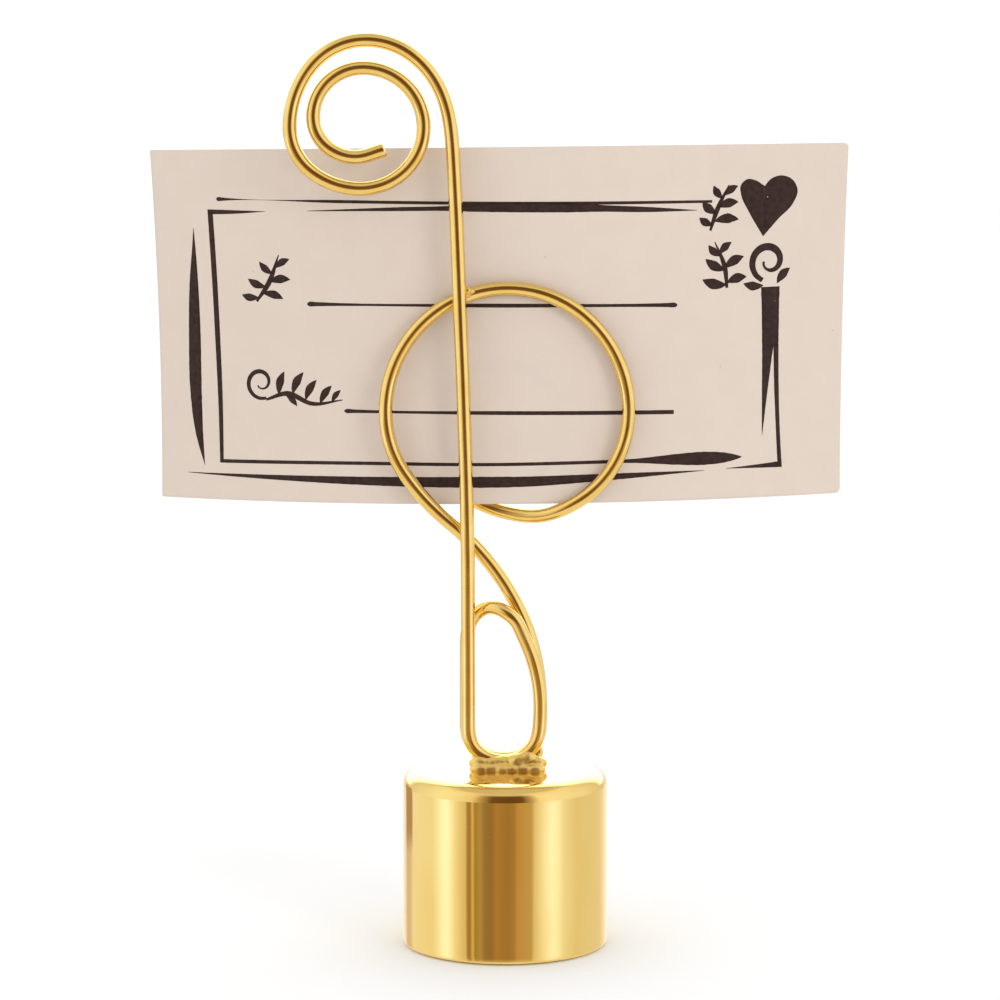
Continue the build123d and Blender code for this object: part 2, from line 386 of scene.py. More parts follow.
def plated(name, roughness, ripple_scale, stretch, ripple_height, scratch_amount, grain=0.0):
    """Polished gold plating with ripple, tone variation and fine scratches."""
    material, tree, surface = new_material(name)
    wave = use_group(tree, ripple, Scale=ripple_scale, Stretch=stretch, Grain=grain)
    marks = use_group(tree, scratches, Scale=420.0, Amount=scratch_amount)
    dust = use_group(tree, specks, Scale=1500.0, Size=0.10, Share=0.04)
    tone = ramp(tree, wave.outputs["Tone"], [(0.3, GOLD_DEEP), (0.7, GOLD_LIGHT)])
    tone = blend_colour(tree, calc(tree, "MULTIPLY", dust.outputs["Mask"], 0.25), tone, (0.75, 0.62, 0.4, 1))
    tree.links.new(tone, surface.inputs["Base Color"])
    surface.inputs["Metallic"].default_value = 1.0
    rough = calc(tree, "MULTIPLY_ADD", wave.outputs["Tone"], roughness * 0.6, roughness * 0.7)
    rough = calc(tree, "MULTIPLY_ADD", marks.outputs["Mask"], 0.25, rough)
    rough = calc(tree, "MULTIPLY_ADD", dust.outputs["Mask"], 0.3, rough)
    tree.links.new(rough, surface.inputs["Roughness"])
    cuts = calc(tree, "MULTIPLY", marks.outputs["Mask"], 0.05)
    relief = calc(tree, "SUBTRACT", wave.outputs["Height"], cuts)
    bump = shade(tree, "ShaderNodeBump", Height=relief, Distance=ripple_height, Strength=1.0)
    tree.links.new(bump.outputs[0], surface.inputs["Normal"])
    return material


cup_gold = plated("gold_mirror", 0.045, 160.0, 0.35, 0.000012, 0.5)
wire_gold = plated("gold_wire", 0.10, 420.0, 1.0, 0.00001, 0.7, 0.35)
solder_gold = plated("gold_solder", 0.38, 700.0, 1.0, 0.00003, 0.3, 0.2)
print("gold finishes ready")


# %% [markdown]
# ## Helpers for meshes
# A mesh is made from points in millimetres. The helper turns them into metres, links the piece,
# smooths its shading and lets it ride on one body of the frame.


# %% Make, shade and place a piece
def finish_piece(name, mesh, material, body, replaced=()):
    """Links a mesh as a piece that rides on a body, with its finish and the nodes it replaces."""
    mesh.name = name
    piece = bpy.data.objects.new(name, mesh)
    bpy.context.scene.collection.objects.link(piece)
    for face in mesh.polygons:
        face.use_smooth = True
    dress(piece, material)
    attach(piece, body)
    if replaced:
        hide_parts(*replaced)
    print(f"{name}: {len(mesh.polygons)} faces on {body}")
    return piece


def mesh_from(points, faces):
    """A mesh from points in millimetres, with its faces turned outward."""
    mesh = bpy.data.meshes.new("piece")
    mesh.from_pydata([Vector(point) * MM for point in points], [], faces)
    shape = bmesh.new()
    shape.from_mesh(mesh)
    bmesh.ops.recalc_face_normals(shape, faces=shape.faces)
    shape.to_mesh(mesh)
    shape.free()
    return mesh


def sharpen(mesh, limit=35.0):
    """Marks edges sharper than the limit, so that smooth shading stops at them."""
    shape = bmesh.new()
    shape.from_mesh(mesh)
    for edge in shape.edges:
        if len(edge.link_faces) == 2 and edge.calc_face_angle(0.0) > radians(limit):
            edge.smooth = False
    shape.to_mesh(mesh)
    shape.free()


# %% [markdown]
# ## The wire
# The clef is one wire, 1.7 mm thick, bent round pegs by hand. Between pegs it is an arc, so a
# few knots, each a point and a direction, give its whole line: two arcs that touch join each
# pair. A tube is then swept along it in mesh code, which keeps its section round through every
# bend and lets the two cut ends be shaped.

# %% Measures of the wire
wire_diameter = 1.7
wire_radius = wire_diameter / 2
layer_gap = 0.1
solder_film = 0.1
loop_gap, clip_gap, seat_gap = 0.1, 0.2, 0.7
front = -(wire_radius + layer_gap / 2)
back = wire_radius + layer_gap / 2
bend_z = cup_top + solder_film + wire_radius
card_face_y = back + wire_radius + loop_gap
card_crest_x = 3.1
card_bends = (93.0, 95.5, 118.0)
card_thick = 0.35
clip_bend = card_bends[0] - card_thick - clip_gap - wire_radius
seat_rise = 29.85
print(f"lowest bend at {bend_z:.2f} mm, card face at y {card_face_y:.2f} mm")


# %% Knots of the wire's line
def clip_y(x):
    """How far back the rear spiral lies, following the card's curve."""
    return card_face_y + card_bends[0] - sqrt(clip_bend**2 - (x - card_crest_x) ** 2)


def knot(x, y, rise_above_bend, heading, swing=0.0):
    """A point of the line and its direction, as a heading in the front view and a swing back."""
    flat = cos(radians(swing))
    way = (cos(radians(heading)) * flat, sin(radians(swing)), sin(radians(heading)) * flat)
    return Vector((x, y, bend_z + rise_above_bend)), Vector(way)


def clip_knot(x, rise_above_bend, heading):
    """A knot of the rear spiral."""
    slope = (x - card_crest_x) / clip_bend * cos(radians(heading))
    return knot(x, clip_y(x), rise_above_bend, heading, degrees(asin(slope)))


top_spiral = [
    knot(-14.6, front, 74.35, 194),
    knot(-17.9, front, 73.45, 180),
    knot(-23.0, front, 78.25, 90),
    knot(-17.0, front, 84.15, 0),
    knot(-9.7, front, 77.15, -90),
    knot(-17.3, front, 69.7, 180),
    knot(-25.8, front, 77.05, 90),
    knot(-16.6, front, 87.45, 0),
]
stem = [
    knot(-7.4, front, 80.75, -69),
    knot(-6.27, front, 74.35, -86.5),
    knot(-5.27, front, 51.35, -87.75),
    knot(-4.75, front, 35.85, -88.3),
    knot(-4.5, front, 21.35, -89.8),
    knot(-4.45, front, 3.65, -90),
    knot(-0.1, front, 0, 0),
    knot(4.2, front, 3.95, 86),
]
teardrop = [
    knot(4.33, front, 6.85, 90),
    knot(2.4, front, 15.15, 116),
    knot(0.9, front, 17.85, 143),
    knot(-1.5, 0, 19, 180, 24),
    knot(-3.6, back, 17.95, 227),
    knot(-4.68, back, 14.55, 270),
    knot(-4.68, back, 3.65, 270),
    knot(-0.1, back, 0, 0),
    knot(4.33, back, 3.95, 90),
    knot(4.33, back, 6.85, 90),
    knot(-6.5, back, 28.95, 141),
]
big_loop = [
    knot(-14.5, back, 42.65, 90),
    knot(0.3, back, 57.7, 0),
    knot(15.0, back, 42.75, -90),
    knot(8.8, back, 31.75, 211),
    knot(3.2, (back + clip_y(-2.6)) / 2, seat_rise, 180, 17),
]
rear_spiral = [
    clip_knot(-2.6, 31.05, 158),
    clip_knot(-8.2, 40.55, 90),
    clip_knot(-0.3, 48.15, 0),
    clip_knot(7.4, 40.55, -90),
    clip_knot(-0.3, 34.15, 180),
    clip_knot(-5.4, 39.75, 90),
    clip_knot(-1.6, 44.35, 15),
]
clef_knots = top_spiral + stem + teardrop + big_loop + rear_spiral
print("knots", len(clef_knots))


# %% From knots to a smooth line
def two_arcs(start, end):
    """The corners and meeting point of the two touching arcs that join two knots."""
    (p0, t0), (p1, t1) = start, end
    chord = p1 - p0
    both = t0 + t1
    a = 2 * (1 - t0.dot(t1))
    b = 2 * chord.dot(both)
    c = -chord.dot(chord)
    reach = -c / b if abs(a) < 1e-9 else (-b + sqrt(b * b - 4 * a * c)) / (2 * a)
    q0 = p0 + t0 * reach
    q1 = p1 - t1 * reach
    middle = (q0 + q1) / 2
    return (p0, q0, middle), (middle, q1, p1)


def arc_steps(start, corner, end, step):
    """Evenly spaced points from start up to, but not at, the end of one arc."""
    u, v = (corner - start), (end - corner)
    turn = u.angle(v)
    if turn < 1e-4:
        count = max(1, ceil((end - start).length / step))
        return [start.lerp(end, i / count) for i in range(count)]
    radius = u.length / sin(turn / 2) * cos(turn / 2)
    inward = (v.normalized() - u.normalized()).normalized()
    centre = corner + inward * (radius / cos(turn / 2))
    axis = u.cross(v).normalized()
    count = max(2, ceil(radius * turn / step))
    arm = start - centre
    return [centre + Matrix.Rotation(turn * i / count, 3, axis) @ arm for i in range(count)]


def wire_line(knots, step=0.3):
    """The centreline's points from the first knot to the last."""
    line = []
    for start, end in zip(knots, knots[1:]):
        for arc in two_arcs(start, end):
            line += arc_steps(*arc, step)
    return line + [knots[-1][0].copy()]


def ease(line, rounds=12):
    """Evens out the change of bend between arcs without moving the line by more than a hair."""
    for _ in range(rounds):
        inner = [(a + 2 * b + c) / 4 for a, b, c in zip(line, line[1:], line[2:])]
        line = [line[0]] + inner + [line[-1]]
    return line


clef_line = ease(wire_line(clef_knots))
clef_length = sum((b - a).length for a, b in zip(clef_line, clef_line[1:]))
print(f"wire {clef_length:.1f} mm long in {len(clef_line)} points")


# %% Sweep the round section along the line
def hand_waver(place):
    """A hair's breadth of unevenness along hand-bent wire."""
    return noise.noise(place * 0.11) * 0.018


end_rings = ((0.10, 0.985), (0.17, 0.93), (0.20, 0.82))
shear_up, shear_right = 0.16, 0.07


def tube_mesh(line, radius, sides=28):
    """A closed tube whose frame turns as little as it can, with sheared, softly rounded ends."""
    points, faces = [], []
    ways = [(b - a).normalized() for a, b in zip(line, line[1:])]
    ways.append(ways[-1].copy())
    side = ways[0].orthogonal().normalized()
    rings = []
    for i, (centre, way) in enumerate(zip(line, ways)):
        side = (side - way * side.dot(way)).normalized()
        up = way.cross(side)
        size = radius * (1 + 0.006 * noise.noise(centre * 0.5 + Vector((7, 0, 0))))
        shift = up * hand_waver(centre) + side * hand_waver(centre + Vector((0, 50, 0)))
        rings.append((centre + shift, side.copy(), up, size))
    for at_start in (True, False):
        centre, a, b, size = rings[0 if at_start else -1]
        way = -ways[0] if at_start else ways[-1]
        extra = [(centre + way * reach, a, b, size * scale) for reach, scale in end_rings]
        rings = extra[::-1] + rings if at_start else rings + extra
    first = len(end_rings)
    last = len(rings) - 1 - first
    for i, (centre, a, b, size) in enumerate(rings):
        way = a.cross(b)
        for k in range(sides):
            angle = tau * k / sides
            spoke = a * cos(angle) + b * sin(angle)
            tilt = 0.0
            if i <= first:
                tilt = (spoke.z * shear_up + spoke.x * shear_right) * (first - i) / first
            elif i >= last:
                tilt = -(spoke.z * shear_up + spoke.x * shear_right) * (i - last) / first
            points.append(centre + spoke * size + way * tilt)
    for i in range(len(rings) - 1):
        for k in range(sides):
            n = (k + 1) % sides
            faces.append((i * sides + k, i * sides + n, (i + 1) * sides + n, (i + 1) * sides + k))
    for ring in (0, len(rings) - 1):
        points.append(sum((Vector(points[ring * sides + k]) for k in range(sides)), Vector()) / sides)
        hub = len(points) - 1
        for k in range(sides):
            faces.append((ring * sides + k, ring * sides + (k + 1) % sides, hub))
    return mesh_from(points, faces)


clef_mesh = tube_mesh(clef_line, wire_radius)
finish_piece("clef_wire_drawn", clef_mesh, wire_gold, "holder", ["clef_wire"])

# %% [markdown]
# ## The cup
# The base is a cup pressed from sheet brass and stood on its open end. A pressed part is round,
# so it is turned from half a section: the flat top, the tight bend at its edge, the wall, the
# cut rim and the inside.


# %% Turn a section into a round part
def bend_corner(section, centre_r, centre_z, radius, start, end, steps=10):
    """Adds an arc to a section, angles in degrees from outward to up."""
    for i in range(steps + 1):
        angle = radians(start + (end - start) * i / steps)
        section.append((centre_r + radius * cos(angle), centre_z + radius * sin(angle)))


def turned_mesh(section, sides, uneven):
    """Turns a section that starts on the axis, with a slow unevenness in its radius."""
    points, faces = [], []
    for r, z in section:
        for k in range(sides):
            angle = tau * k / sides
            spoke = Vector((cos(angle), sin(angle), 0.0))
            off = noise.noise(Vector((spoke.x * 2.1, spoke.y * 2.1, z * 0.05))) * uneven
            points.append(spoke * (r + (off if r > 1.0 else 0.0)) + Vector((0.0, 0.0, z)))
    for i in range(len(section) - 1):
        for k in range(sides):
            n = (k + 1) % sides
            faces.append((i * sides + k, i * sides + n, (i + 1) * sides + n, (i + 1) * sides + k))
    mesh = mesh_from(points, faces)
    shape = bmesh.new()
    shape.from_mesh(mesh)
    bmesh.ops.remove_doubles(shape, verts=shape.verts, dist=1e-7)
    bmesh.ops.recalc_face_normals(shape, faces=shape.faces)
    shape.to_mesh(mesh)
    shape.free()
    return mesh


# %% The cup's section
cup_wall = 0.8
top_bend, inner_bend = 1.9, 1.1
rim_outer, rim_inner = 0.25, 0.12
inner_radius = cup_radius - cup_wall
cup_section = [(r, cup_top) for r in (0.0, 1.5, 3.0, 4.5, 6.0, 7.5, 9.0, 10.0)]
bend_corner(cup_section, cup_radius - top_bend, cup_top - top_bend, top_bend, 90, 0, 28)
cup_section += [(cup_radius, z) for z in (18.5, 15.0, 11.0, 7.0, 3.5, 1.2)]
bend_corner(cup_section, cup_radius - rim_outer, cup_rim_z + rim_outer, rim_outer, 0, -90, 6)
bend_corner(cup_section, inner_radius + rim_inner, cup_rim_z + rim_inner, rim_inner, -90, -180, 4)
cup_section += [(inner_radius, z) for z in (4.0, 12.0, 18.0)]
bend_corner(cup_section, inner_radius - inner_bend, cup_top - cup_wall - inner_bend, inner_bend, 0, 90, 8)
cup_section += [(r, cup_top - cup_wall) for r in (6.0, 0.0)]
cup_mesh = turned_mesh(cup_section, 192, 0.006)
finish_piece("base_cup_polished", cup_mesh, cup_gold, "holder", ["base_shell"])

# %% [markdown]
# ## The pad under the foot
# A die-cut disc of soft foam stands a quarter of a millimetre below the rim, so that metal never
# touches the table. Its edge is rounded where the die pressed it, and open cells show on it.

# %% The pad's section and finish
pad_radius = (pad_high.x - pad_low.x) / 2
pad_top, pad_edge = pad_high.z, 0.22
pad_section = [(r, pad_low.z) for r in (0.0, 2.0, 4.0, 6.0, 8.0, 10.0)]
bend_corner(pad_section, pad_radius - pad_edge, pad_low.z + pad_edge, pad_edge, -90, 0, 6)
bend_corner(pad_section, pad_radius - pad_edge, pad_top - pad_edge, pad_edge, 0, 90, 6)
pad_section += [(r, pad_top) for r in (8.0, 4.0, 0.0)]
foam, tree, surface = new_material("foam_cells")
place = shade(tree, "ShaderNodeTexCoord").outputs["Object"]
cells = shade(tree, "ShaderNodeTexVoronoi", Vector=place, Scale=3500.0)
lint = use_group(tree, specks, Scale=700.0, Size=0.16, Share=0.12)
tone = ramp(tree, cells.outputs["Distance"], [(0.1, (0.05, 0.05, 0.052)), (0.7, (0.13, 0.13, 0.13))])
tone = blend_colour(tree, calc(tree, "MULTIPLY", lint.outputs[0], 0.5), tone, (0.4, 0.39, 0.37, 1))
tree.links.new(tone, surface.inputs["Base Color"])
surface.inputs["Roughness"].default_value = 0.95
bump = shade(tree, "ShaderNodeBump", Height=cells.outputs["Distance"], Distance=0.00008, Strength=0.8)
tree.links.new(bump.outputs[0], surface.inputs["Normal"])
pad_mesh = turned_mesh(pad_section, 128, 0.02)
pad = finish_piece("foot_pad_foam", pad_mesh, foam, "holder", ["foot_pad"])

# %% [markdown]
# ## The slug inside
# The cast slug can't be seen unless the pad is peeled off. Its solid from the frame is the right
# shape, so it keeps its mesh and gets a cast-iron finish in its own material slots.

# %% Cast iron for the slug
iron, tree, surface = new_material("cast_iron_rough")
pits = use_group(tree, ripple, Scale=900.0, Stretch=1.0)
rust = use_group(tree, specks, Scale=400.0, Size=0.35, Share=0.25)
tone = ramp(tree, pits.outputs["Tone"], [(0.3, (0.045, 0.043, 0.042)), (0.7, (0.11, 0.105, 0.10))])
tone = blend_colour(tree, calc(tree, "MULTIPLY", rust.outputs[0], 0.6), tone, (0.16, 0.07, 0.035, 1))
tree.links.new(tone, surface.inputs["Base Color"])
surface.inputs["Metallic"].default_value = 0.7
surface.inputs["Roughness"].default_value = 0.62
bump = shade(tree, "ShaderNodeBump", Height=pits.outputs["Height"], Distance=0.00015, Strength=0.9)
tree.links.new(bump.outputs[0], surface.inputs["Normal"])
dress(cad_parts["base_weight"], iron)
print("slug dressed")


# %% [markdown]
# ## Solder
# Molten solder pulls itself into smooth lumps, creeps up the wires and freezes with soft ridges.
# Overlapping balls give its bulk, a voxel remesh melts them into one skin, and a few rounds of
# smoothing round the creases. Below the cup's top the skin is pressed flat.

# %% Melt balls into a lump
def melted_mesh(balls, voxel, smoothing, floor_z=None, lumps=0.0):
    """Joins balls (x, y, z, radius, stretch) into one smooth skin of about the voxel's size."""
    shape = bmesh.new()
    for x, y, z, radius, stretch in balls:
        size = Matrix.Diagonal((*(radius * s * MM for s in stretch), 1.0))
        move = Matrix.Translation(Vector((x, y, z)) * MM)
        bmesh.ops.create_icosphere(shape, subdivisions=3, radius=1.0, matrix=move @ size)
    rough = bpy.data.meshes.new("balls")
    shape.to_mesh(rough)
    shape.free()
    holder = bpy.data.objects.new("balls", rough)
    bpy.context.scene.collection.objects.link(holder)
    remesh = holder.modifiers.new("melt", "REMESH")
    remesh.mode = "VOXEL"
    remesh.voxel_size = voxel * MM
    relax = holder.modifiers.new("relax", "SMOOTH")
    relax.factor = 0.5
    relax.iterations = smoothing
    view = bpy.context.evaluated_depsgraph_get()
    skin = bpy.data.meshes.new_from_object(holder.evaluated_get(view))
    bpy.data.objects.remove(holder)
    for vertex in skin.vertices:
        place = vertex.co / MM
        vertex.co += vertex.normal * noise.noise(place * 1.3) * lumps * MM
        if floor_z is not None:
            vertex.co.z = max(vertex.co.z, floor_z * MM)
    return skin


# %% The lump that holds the two bottom bends
round_ball, tall_ball = (1.0, 1.0, 1.0), (0.8, 0.8, 1.5)
base_balls = []
for i in range(6):
    x = -2.9 + i * 1.3
    base_balls.append((x, -1.2, cup_top + 0.85, 0.98, (1.6, 1.0, 1.0)))
    base_balls.append((x, -1.9 + 0.1 * sin(i * 2.1), cup_top + 0.15, 0.8, (1.6, 1.0, 1.0)))
    base_balls.append((x, 0.0, cup_top + 0.3, 1.1, (1.3, 1.0, 1.0)))
    base_balls.append((x, 1.25 + 0.12 * cos(i * 1.7), cup_top + 0.4, 1.1, (1.3, 1.0, 1.0)))
base_balls += [
    (1.6, -1.3, cup_top + 1.1, 1.05, (1.5, 1.0, 1.0)),
    (2.75, -1.25, cup_top + 1.55, 0.98, (1.1, 1.0, 1.0)),
    (4.05, -0.2, cup_top + 0.8, 0.75, tall_ball),
    (4.2, 0.15, cup_top + 1.9, 0.62, tall_ball),
    (-3.2, -1.15, cup_top + 1.1, 0.85, round_ball),
    (-3.6, 0.7, cup_top + 1.1, 0.65, tall_ball),
]
base_lump = melted_mesh(base_balls, 0.09, 20, cup_top - 0.02, 0.07)
finish_piece("base_solder_lump", base_lump, solder_gold, "holder", ["base_solder"])

# %% The tack where the big loop passes behind the stem
tack_low, tack_high = (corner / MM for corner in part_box("crossing_solder"))
tack = (tack_low + tack_high) / 2
tack_balls = [
    (tack.x + 0.08, -0.4, tack.z + 0.35, 0.5, round_ball),
    (tack.x + 0.35, -0.1, tack.z + 0.25, 0.48, (1.3, 1.0, 0.8)),
    (tack.x, 0.0, tack.z, 0.6, round_ball),
]
tack_lump = melted_mesh(tack_balls, 0.05, 14, None, 0.03)
finish_piece("crossing_solder_tack", tack_lump, solder_gold, "holder", ["crossing_solder"])

# %% [markdown]
# ## The card
# The card is cut from stiff uncoated stock. Held between the loop and the rear spiral it bends
# back at both ends, more along its lower edge than its upper. Places on it are given as `u`, the
# distance along the card from the line that stands furthest forward, and `v`, the height above
# its lower edge. One function puts such a place on the bent card at any depth into the stock.

# %% Measures of the card
card_left, card_right, card_tall = -48.25, 39.75, 43.3
card_foot_z = bend_z + seat_rise + wire_radius + seat_gap
card_rise = radians(0.62)
card_along = Vector((cos(card_rise), 0.0, sin(card_rise)))
# Where the rear spiral sits behind the card: the centre and radius of the faint ridge it presses into the
# stock. The stock's finish uses the same place for a ring of painted shade, the spiral's shadow seen through
# the card.
clip_ring_u, clip_ring_v, clip_ring_radius = -3.4, 9.6, 7.4
clip_mark_depth, clip_mark_half = 0.018, 1.1
edge_round = 0.05
print(f"card {card_right - card_left:.1f} x {card_tall:.1f} mm, foot at {card_foot_z:.2f} mm")


# %% Put a place on the bent card
def on_card(u, v, depth=0.0):
    """The point at (u, v) on the card's front, or that deep into the stock, in millimetres."""
    t = v / card_tall
    point = Vector((card_crest_x, card_face_y, card_foot_z + v))
    for share, bend in zip(((2 * t - 1) * (t - 1), 4 * t * (1 - t), t * (2 * t - 1)), card_bends):
        turn = u / bend
        point += card_along * (share * (bend - depth) * sin(turn))
        point.y += share * (bend - (bend - depth) * cos(turn))
    return point


def clip_press(u, v):
    """The faint ridge pressed through the card by the rear spiral."""
    off = sqrt((u - clip_ring_u) ** 2 + (v - clip_ring_v) ** 2) - clip_ring_radius
    return clip_mark_depth * max(0.0, 1 - abs(off) / clip_mark_half) ** 2


corner_round = {"left": 0.12, "right": 0.65}


def trimmed(u, v, inset):
    """Moves a grid place inward at the card's rounded corners and by an inset all round."""
    u = card_left + inset + (u - card_left) * (card_right - card_left - 2 * inset) / (card_right - card_left)
    low, high = inset, card_tall - inset
    for edge, radius, side in ((card_left, corner_round["left"], 1), (card_right, corner_round["right"], -1)):
        into = (u - edge) * side
        if into < radius:
            cut = radius - sqrt(max(0.0, radius**2 - (radius - max(into, 0.0)) ** 2))
            low, high = max(low, cut), min(high, card_tall - cut)
    return u, low + (high - low) * v / card_tall


# %% Build the card as front, back and a softly rounded edge
def card_mesh(columns=230, rows=110):
    """A closed card: two grids joined round their edge through two more rings."""
    us = [card_left + (card_right - card_left) * i / columns for i in range(columns + 1)]
    for i in range(1, 5):
        us.append(card_right - corner_round["right"] * (1 - i / 5) ** 2)
    us = sorted(us)
    vs = [card_tall * j / rows for j in range(rows + 1)]
    points, faces, index = [], [], {}
    layers = (
        (0.0, edge_round), (edge_round, 0.0), (card_thick - edge_round, 0.0), (card_thick, edge_round),
    )
    for layer, (depth, inset) in enumerate(layers):
        for i, u in enumerate(us):
            for j, v in enumerate(vs):
                edge = i in (0, len(us) - 1) or j in (0, rows)
                if layer in (1, 2) and not edge:
                    continue
                at_u, at_v = trimmed(u, v, inset)
                press = clip_press(at_u, at_v)
                index[layer, i, j] = len(points)
                points.append(on_card(at_u, at_v, depth) - Vector((0, press, 0)))
    for layer in (0, 3):
        for i in range(len(us) - 1):
            for j in range(rows):
                faces.append([index[layer, i + a, j + b] for a, b in ((0, 0), (1, 0), (1, 1), (0, 1))])
    last = len(us) - 1
    border = [(i, 0) for i in range(last)] + [(last, j) for j in range(rows)]
    border += [(i, rows) for i in range(last, 0, -1)] + [(0, j) for j in range(rows, 0, -1)]
    for layer in (0, 1, 2):
        for a, b in zip(border, border[1:] + border[:1]):
            faces.append([index[layer, *a], index[layer, *b], index[layer + 1, *b], index[layer + 1, *a]])
    return mesh_from(points, faces)


# %% The stock's finish
stock, tree, surface = new_material("uncoated_stock")
place = shade(tree, "ShaderNodeTexCoord").outputs["Object"]
pulp = shade(tree, "ShaderNodeTexNoise", Vector=place, Scale=260.0, Detail=5.0, Roughness=0.6)
fibre = shade(tree, "ShaderNodeTexNoise", Vector=place, Scale=4200.0, Detail=3.0, Roughness=0.7)
scuff = use_group(tree, scratches, Scale=160.0, Amount=0.5)
flecks = use_group(tree, specks, Scale=420.0, Size=0.06, Share=0.10)
# A ring of painted shade: the rear spiral's shadow seen through the stock, laid as a faint bluish-grey
# darkening round the spiral's place and patchy with the pulp.
across = shade(tree, "ShaderNodeVectorMath", {"operation": "SUBTRACT"}, in0=place,
               in1=((card_crest_x + clip_ring_u) * MM, 0.0, (card_foot_z + clip_ring_v) * MM))
across = shade(tree, "ShaderNodeVectorMath", {"operation": "MULTIPLY"},
               in0=across.outputs[0], in1=(1.0, 0.0, 1.0))
reach = shade(tree, "ShaderNodeVectorMath", {"operation": "LENGTH"}, in0=across.outputs[0]).outputs["Value"]
off = calc(tree, "ABSOLUTE", calc(tree, "SUBTRACT", reach, clip_ring_radius * MM))
ring = calc(tree, "MULTIPLY", rise(tree, off, 1.3 * MM, 0.2 * MM), rise(tree, pulp.outputs[0], 0.35, 0.62))
tone = ramp(tree, pulp.outputs[0], [(0.3, (0.642, 0.544, 0.467)), (0.7, (0.664, 0.563, 0.485))])
# Darken the stock towards bluish grey along that ring of painted shade.
tone = blend_colour(tree, calc(tree, "MULTIPLY", ring, 0.16), tone, (0.48, 0.41, 0.43, 1))
tone = blend_colour(tree, calc(tree, "MULTIPLY", fibre.outputs[0], 0.10), tone, (0.55, 0.45, 0.37, 1))
tone = blend_colour(tree, calc(tree, "MULTIPLY", scuff.outputs[0], 0.12), tone, (0.74, 0.64, 0.55, 1))
tone = blend_colour(tree, calc(tree, "MULTIPLY", flecks.outputs[0], 0.35), tone, (0.36, 0.27, 0.21, 1))
tree.links.new(tone, surface.inputs["Base Color"])
surface.inputs["Roughness"].default_value = 0.82
surface.inputs["Specular IOR Level"].default_value = 0.35
bump = shade(tree, "ShaderNodeBump", Height=fibre.outputs[0], Distance=0.00003, Strength=0.55)
tree.links.new(bump.outputs[0], surface.inputs["Normal"])
card = finish_piece("card_stock", card_mesh(), stock, "card", ["place_card"])
sharpen(card.data, 60)

# %% [markdown]
# ## The print
# The print is a thin film of dark brown ink: a loose, brush-drawn frame, two writing lines and
# small ornaments. Each mark is a brush stroke with a width at every point, laid on the bent card
# as a film a hundredth of a millimetre thick, so it keeps crisp edges close up and bends with
# the card.

# %% The ink's finish
ink, tree, surface = new_material("brown_ink")
place = shade(tree, "ShaderNodeTexCoord").outputs["Object"]
cover = shade(tree, "ShaderNodeTexNoise", Vector=place, Scale=1800.0, Detail=3.0)
holes = use_group(tree, specks, Scale=1300.0, Size=0.08, Share=0.012)
tone = ramp(tree, cover.outputs[0], [(0.3, (0.029, 0.015, 0.012)), (0.7, (0.047, 0.026, 0.021))])
tone = blend_colour(tree, calc(tree, "MULTIPLY", holes.outputs[0], 0.45), tone, (0.45, 0.36, 0.29, 1))
tree.links.new(tone, surface.inputs["Base Color"])
surface.inputs["Roughness"].default_value = 0.6
surface.inputs["Specular IOR Level"].default_value = 0.12
INK_OUT, INK_IN = -0.014, 0.03


# %% Smooth a stroke's guide points
def eased(guides, step=0.3):
    """A smooth run through guide points (u, v, width), no coarser than the step."""
    guides = [Vector(g) for g in guides]
    reach = [(b - a).length for a, b in zip(guides, guides[1:])]
    slopes = [(b - a) / r for a, b, r in zip(guides, guides[1:], reach)]
    ways = [slopes[0]]
    for i in range(1, len(slopes)):
        ways.append((slopes[i - 1] * reach[i] + slopes[i] * reach[i - 1]) / (reach[i - 1] + reach[i]))
    ways.append(slopes[-1])
    run = []
    for i, (a, b, r) in enumerate(zip(guides, guides[1:], reach)):
        count = max(4, ceil(r / step))
        for k in range(count):
            t = k / count
            run.append(a * (1 + 2 * t) * (1 - t) ** 2 + b * t * t * (3 - 2 * t)
                       + (ways[i] * t * (1 - t) ** 2 - ways[i + 1] * t * t * (1 - t)) * r)
    return run + [guides[-1]]


# %% Lay ink as a film on the card
def film(rows, points, faces):
    """Adds a closed film over a grid of (u, v) places, given row by row."""
    wide = len(rows[0])
    start = len(points)
    for depth in (INK_OUT, INK_IN):
        for row in rows:
            for u, v in row:
                lift = Vector((0, clip_press(u, v), 0)) if depth == INK_OUT else Vector()
                points.append(on_card(u, v, depth) - lift)
    layer = len(rows) * wide
    for i in range(len(rows) - 1):
        for j in range(wide - 1):
            a = start + i * wide + j
            quad = (a, a + 1, a + wide + 1, a + wide)
            faces.append(quad)
            faces.append(tuple(k + layer for k in reversed(quad)))
    far, end = len(rows) - 1, wide - 1
    ring = [(0, j) for j in range(end)] + [(i, end) for i in range(far)]
    ring += [(far, j) for j in range(end, 0, -1)] + [(i, 0) for i in range(far, 0, -1)]
    for (i, j), (m, n) in zip(ring, ring[1:] + ring[:1]):
        a, b = start + i * wide + j, start + m * wide + n
        faces.append((a, b, b + layer, a + layer))


def brush(guides, points, faces, across=3):
    """One brush stroke through guides (u, v, width)."""
    run = eased(guides)
    rows = []
    for i, spot in enumerate(run):
        before, after = run[max(i - 1, 0)], run[min(i + 1, len(run) - 1)]
        way = Vector((after.x - before.x, after.y - before.y)).normalized()
        side = Vector((-way.y, way.x))
        rough = 1 + 0.05 * noise.noise(Vector((spot.x * 1.7, spot.y * 1.7, 3.0)))
        half = max(spot.z, 0.02) / 2 * rough
        centre = Vector((spot.x, spot.y))
        rows.append([tuple(centre + side * half * (2 * k / across - 1)) for k in range(across + 1)])
    film(rows, points, faces)


def print_piece(name, strokes):
    """A piece made of several brush strokes."""
    points, faces = [], []
    for guides in strokes:
        brush(guides, points, faces)
    return finish_piece(name, mesh_from(points, faces), ink, "card")


